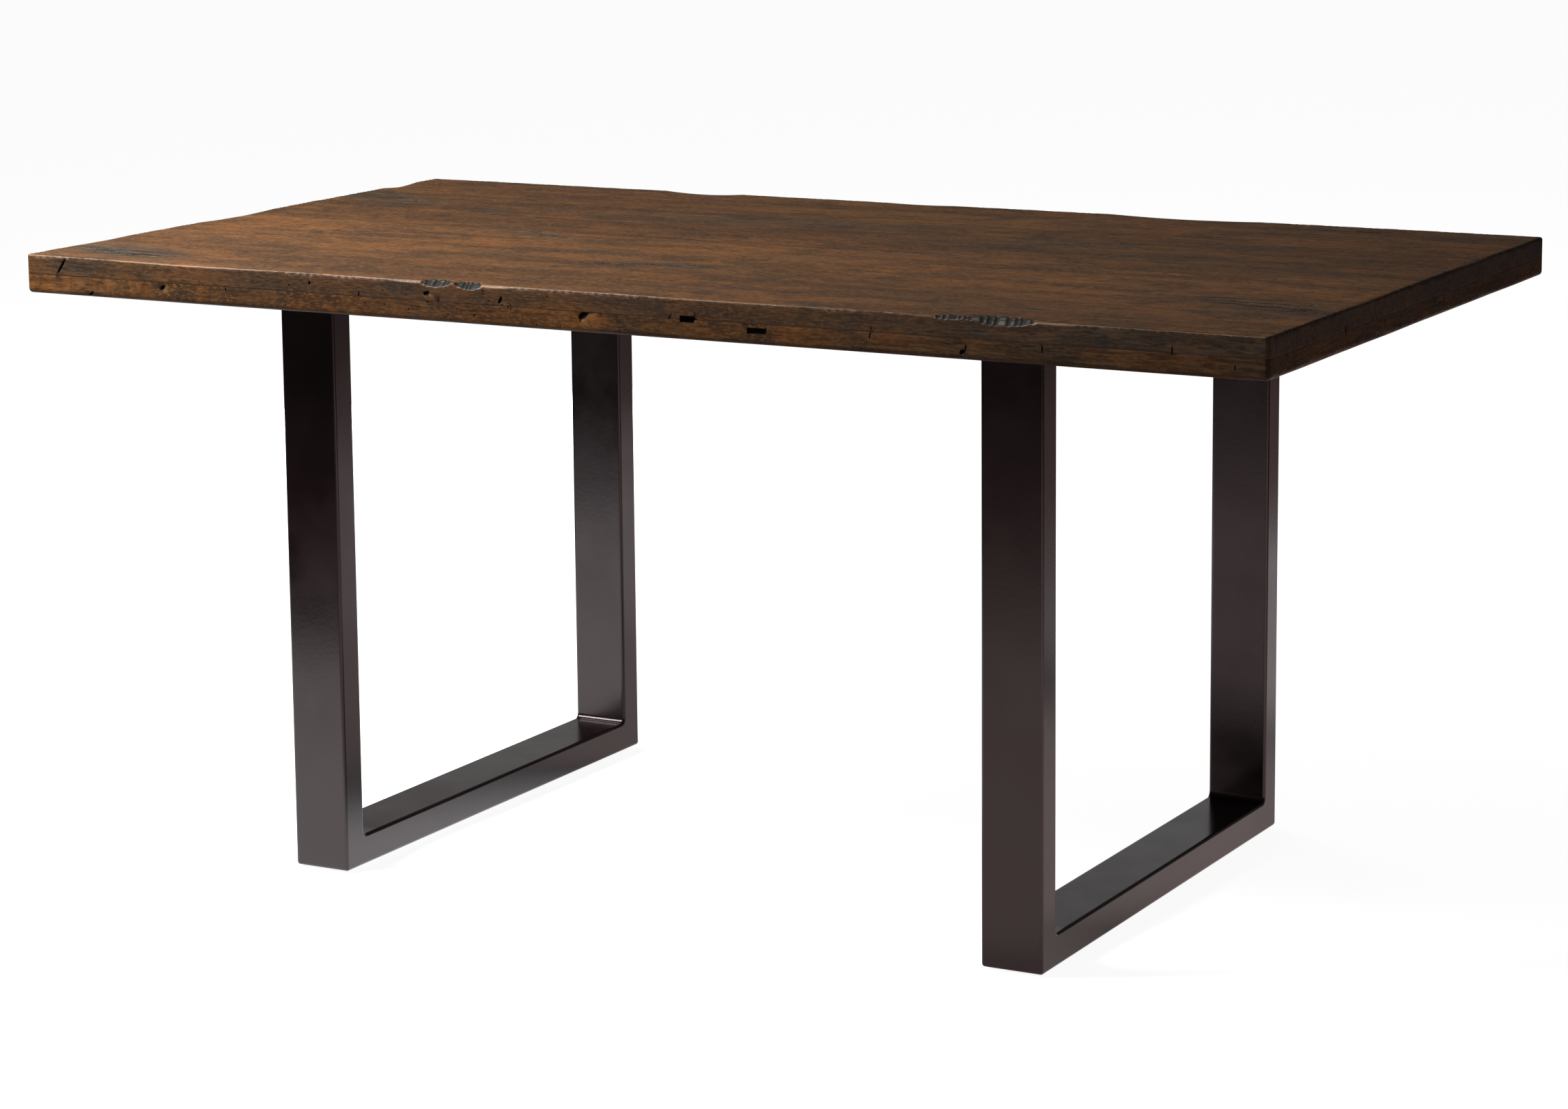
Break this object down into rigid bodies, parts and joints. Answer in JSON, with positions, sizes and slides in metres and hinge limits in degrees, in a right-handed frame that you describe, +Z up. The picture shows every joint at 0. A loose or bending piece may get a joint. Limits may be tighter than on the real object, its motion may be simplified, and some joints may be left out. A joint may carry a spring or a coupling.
{
  "type": "dining table",
  "caption": "Rectangular plank-top dining table with a built-up, distressed dark wood edge on two open U-shaped frames of rectangular bronze-coloured steel tube.",
  "frame": {"origin": "on the floor under the middle of the top", "axes": "+X along the table's length to the right, +Y from its front to its back, +Z up"},
  "size_m": [1.6256, 0.9144, 0.762],
  "materials": {
    "board_wood": "dark brown stain under a satin clear coat, distressed, with worn lighter edges",
    "strip_wood": "dark brown stain under a satin clear coat, lighter and more figured than the boards",
    "cleat_wood": "brown stain, sealed, flat",
    "bronze_steel": "brown-black bronze coating, semi-gloss",
    "zinc_steel": "zinc-plated, satin",
    "brass": "plain machined",
    "nylon": "matt black"
  },
  "bodies": {
    "root": {"board_front": "board_wood", "board_mid_front": "board_wood", "board_mid_back": "board_wood", "board_back": "board_wood", "edge_strip_front": "strip_wood", "edge_strip_back": "strip_wood", "edge_strip_left": "strip_wood", "edge_strip_right": "strip_wood", "left_cleat": "cleat_wood", "left_post_front": "bronze_steel", "left_post_back": "bronze_steel", "left_floor_rail": "bronze_steel", "left_mount_plate": "bronze_steel", "left_weld_front": "bronze_steel", "left_weld_back": "bronze_steel", "left_glide_front": "nylon", "left_glide_back": "nylon", "left_bolt_1": "zinc_steel", "left_bolt_2": "zinc_steel", "left_bolt_3": "zinc_steel", "left_bolt_4": "zinc_steel", "left_washer_1": "zinc_steel", "left_washer_2": "zinc_steel", "left_washer_3": "zinc_steel", "left_washer_4": "zinc_steel", "left_cleat_screw_1": "zinc_steel", "left_cleat_screw_2": "zinc_steel", "left_cleat_screw_3": "zinc_steel", "left_cleat_screw_4": "zinc_steel", "left_insert_1": "brass", "left_insert_2": "brass", "left_insert_3": "brass", "left_insert_4": "brass", "right_cleat": "cleat_wood", "right_post_front": "bronze_steel", "right_post_back": "bronze_steel", "right_floor_rail": "bronze_steel", "right_mount_plate": "bronze_steel", "right_weld_front": "bronze_steel", "right_weld_back": "bronze_steel", "right_glide_front": "nylon", "right_glide_back": "nylon", "right_bolt_1": "zinc_steel", "right_bolt_2": "zinc_steel", "right_bolt_3": "zinc_steel", "right_bolt_4": "zinc_steel", "right_washer_1": "zinc_steel", "right_washer_2": "zinc_steel", "right_washer_3": "zinc_steel", "right_washer_4": "zinc_steel", "right_cleat_screw_1": "zinc_steel", "right_cleat_screw_2": "zinc_steel", "right_cleat_screw_3": "zinc_steel", "right_cleat_screw_4": "zinc_steel", "right_insert_1": "brass", "right_insert_2": "brass", "right_insert_3": "brass", "right_insert_4": "brass"}
  },
  "joints": []
}
